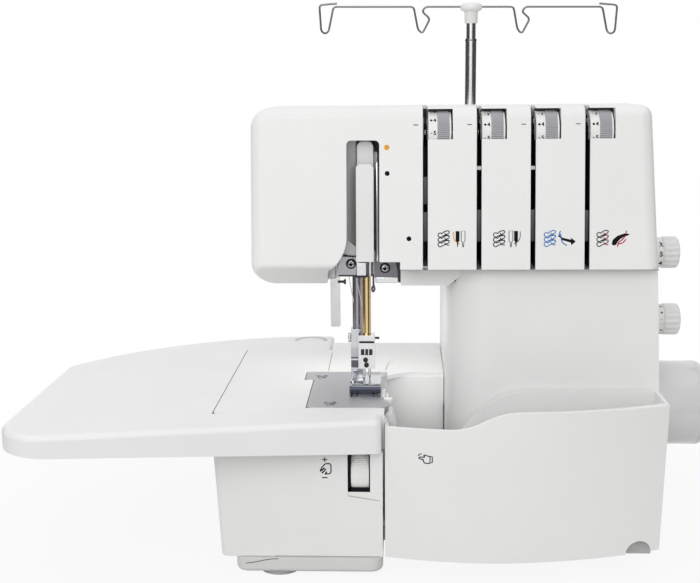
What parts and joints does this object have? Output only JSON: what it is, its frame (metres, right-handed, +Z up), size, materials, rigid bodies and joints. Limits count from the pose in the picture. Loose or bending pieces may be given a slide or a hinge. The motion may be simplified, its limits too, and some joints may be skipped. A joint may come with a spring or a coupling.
{
  "type": "serger overlock machine",
  "caption": "Overlock sewing machine with thread stand, tension dials, hinged looper cover with waste pocket and a sliding extension table.",
  "frame": {"origin": "on the ground under the middle of the bounding box", "axes": "+Z up, +X towards the handwheel, -Y towards the user"},
  "size_m": [0.476, 0.326, 0.3806],
  "materials": {
    "cover_white": "smooth white",
    "table_white": "smooth white",
    "dial_grey": "ribbed grey and white",
    "knob_white": "fluted white",
    "plate_steel": "fine brushed",
    "bright_steel": "polished",
    "bar_brass": "polished",
    "frame_metal": "cast",
    "dark_metal": "dark satin",
    "shaft_steel": "ground",
    "foot_rubber": "soft matte",
    "belt_rubber": "matte",
    "black_plastic": "fine grain",
    "stand_white": "fine grain"
  },
  "bodies": {
    "machine": {"base_tray": "cover_white", "rubber_feet": "foot_rubber", "main_frame": "frame_metal", "bushes": "bright_steel", "bed_front_cover": "cover_white", "bed_top_cover": "cover_white", "needle_plate": "plate_steel", "chute_wall": "cover_white", "face_cover": "cover_white", "tension_cover": "cover_white", "tension_disc_sets": "bright_steel", "column_cover": "cover_white", "rear_cover": "cover_white", "take_up_guard": "cover_white", "thread_guide_plate": "bright_steel", "lamp_bracket": "dark_metal", "body_screws": "bright_steel", "lower_knife": "plate_steel", "drive_belt": "belt_rubber", "motor": "dark_metal", "pivot_pins": "shaft_steel", "spool_base": "stand_white", "spool_pins": "stand_white", "cone_holders": "stand_white", "pole_outer_tube": "bright_steel", "power_inlet": "black_plastic"},
    "drive": {"handwheel": "knob_white", "main_shaft": "shaft_steel", "shaft_pulley": "black_plastic"},
    "motor_rotor": {"motor_pulley": "shaft_steel"},
    "rocker": {"rocker_shaft": "shaft_steel", "rocker_arm": "frame_metal", "take_up_lever": "cover_white"},
    "needle": {"needle_bar": "bar_brass", "needle_bar_collar": "bright_steel", "needle_clamp": "bright_steel", "clamp_screws": "dark_metal", "needles": "bright_steel"},
    "presser": {"presser_bar": "shaft_steel", "presser_foot": "bright_steel", "foot_screw": "bright_steel"},
    "lifter": {"lifter_lever": "plate_steel"},
    "lower_looper": {"lower_looper": "bright_steel"},
    "upper_looper": {"upper_looper": "bright_steel"},
    "knife": {"upper_knife": "plate_steel"},
    "feed": {"feed_dog": "shaft_steel"},
    "dial_1": {"tension_dial_1": "dial_grey"},
    "dial_2": {"tension_dial_2": "dial_grey"},
    "dial_3": {"tension_dial_3": "dial_grey"},
    "dial_4": {"tension_dial_4": "dial_grey"},
    "length_knob": {"stitch_length_knob": "knob_white"},
    "feed_knob": {"differential_feed_knob": "knob_white"},
    "width_dial": {"cutting_width_dial": "knob_white"},
    "hinge_rod": {"cover_hinge_rod": "bright_steel"},
    "cover": {"looper_cover": "cover_white"},
    "table": {"extension_table": "table_white"},
    "mast": {"pole_inner_tube": "bright_steel", "thread_guide_cap": "stand_white", "thread_guide_wire": "bright_steel"},
    "switch": {"power_switch": "black_plastic"}
  },
  "joints": [
    {"name": "handwheel_turn", "type": "hinge", "parent": "machine", "child": "drive", "pos_m": [0.214, 0.014, 0.0804], "axis": [1, 0, 0], "continuous": true},
    {"name": "motor_turn", "type": "hinge", "parent": "machine", "child": "motor_rotor", "pos_m": [0.146, -0.04, 0.05], "axis": [1, 0, 0], "continuous": true},
    {"name": "rocker_swing", "type": "hinge", "parent": "machine", "child": "rocker", "pos_m": [0, 0.01, 0.25], "axis": [-1, 0, 0], "range_deg": [-4.17, 16]},
    {"name": "needle_lift", "type": "slide", "parent": "machine", "child": "needle", "axis": [0, 0, 1], "range_m": [-0.0041, 0.0155]},
    {"name": "lower_looper_swing", "type": "hinge", "parent": "machine", "child": "lower_looper", "pos_m": [-0.03, -0.04, 0.04], "axis": [0, 1, 0], "range_deg": [-4, 14.6]},
    {"name": "upper_looper_swing", "type": "hinge", "parent": "machine", "child": "upper_looper", "pos_m": [0.026, -0.04, 0.036], "axis": [0, 1, 0], "range_deg": [-3, 10]},
    {"name": "knife_swing", "type": "hinge", "parent": "machine", "child": "knife", "pos_m": [0, -0.02, 0.06], "axis": [-1, 0, 0], "range_deg": [-1.5, 5]},
    {"name": "feed_move", "type": "slide", "parent": "machine", "child": "feed", "axis": [0, 1, 0], "range_m": [-0.0005, 0.0015]},
    {"name": "lifter_swing", "type": "hinge", "parent": "machine", "child": "lifter", "pos_m": [-0.0352, 0.029, 0.202], "axis": [1, 0, 0], "range_deg": [0, 60.5]},
    {"name": "presser_lift", "type": "slide", "parent": "machine", "child": "presser", "axis": [0, 0, 1], "range_m": [0, 0.006]},
    {"name": "tension_dial_1_turn", "type": "hinge", "parent": "machine", "child": "dial_1", "pos_m": [0.0397, -0.053, 0.284], "axis": [1, 0, 0], "range_deg": [-140, 140]},
    {"name": "tension_dial_2_turn", "type": "hinge", "parent": "machine", "child": "dial_2", "pos_m": [0.0748, -0.053, 0.284], "axis": [1, 0, 0], "range_deg": [-140, 140]},
    {"name": "tension_dial_3_turn", "type": "hinge", "parent": "machine", "child": "dial_3", "pos_m": [0.1099, -0.053, 0.284], "axis": [1, 0, 0], "range_deg": [-140, 140]},
    {"name": "tension_dial_4_turn", "type": "hinge", "parent": "machine", "child": "dial_4", "pos_m": [0.145, -0.053, 0.284], "axis": [1, 0, 0], "range_deg": [-140, 140]},
    {"name": "stitch_length_turn", "type": "hinge", "parent": "machine", "child": "length_knob", "pos_m": [0.2, -0.006, 0.1965], "axis": [1, 0, 0], "range_deg": [-135, 135]},
    {"name": "differential_feed_turn", "type": "hinge", "parent": "machine", "child": "feed_knob", "pos_m": [0.2, -0.006, 0.148], "axis": [1, 0, 0], "range_deg": [-135, 135]},
    {"name": "cutting_width_turn", "type": "hinge", "parent": "machine", "child": "width_dial", "pos_m": [-0.013, -0.1042, 0.068], "axis": [1, 0, 0], "range_deg": [-120, 120]},
    {"name": "cover_slide", "type": "slide", "parent": "machine", "child": "hinge_rod", "axis": [1, 0, 0], "range_m": [0, 0.006]},
    {"name": "cover_open", "type": "hinge", "parent": "hinge_rod", "child": "cover", "pos_m": [0.08, -0.112, 0.0185], "axis": [1, 0, 0], "range_deg": [0, 90]},
    {"name": "table_pull", "type": "slide", "parent": "machine", "child": "table", "axis": [-1, 0, 0], "range_m": [0, 0.18]},
    {"name": "mast_raise", "type": "slide", "parent": "machine", "child": "mast", "axis": [0, 0, 1], "range_m": [-0.01, 0.15]},
    {"name": "switch_rock", "type": "hinge", "parent": "machine", "child": "switch", "pos_m": [0.18691, 0.057, 0.061], "axis": [0, 1, 0], "range_deg": [0, 10]}
  ],
  "couplings": [
    {"joint": "motor_turn", "follows": "handwheel_turn", "ratio": 3},
    {"joint": "needle_lift", "follows": "rocker_swing", "m_per_rad": 0.055},
    {"joint": "lower_looper_swing", "follows": "rocker_swing", "ratio": 0.9},
    {"joint": "upper_looper_swing", "follows": "rocker_swing", "ratio": 0.6},
    {"joint": "knife_swing", "follows": "rocker_swing", "ratio": 0.3},
    {"joint": "feed_move", "follows": "rocker_swing", "m_per_rad": 0.004},
    {"joint": "lifter_swing", "follows": "presser_lift", "rad_per_m": 174.53}
  ]
}
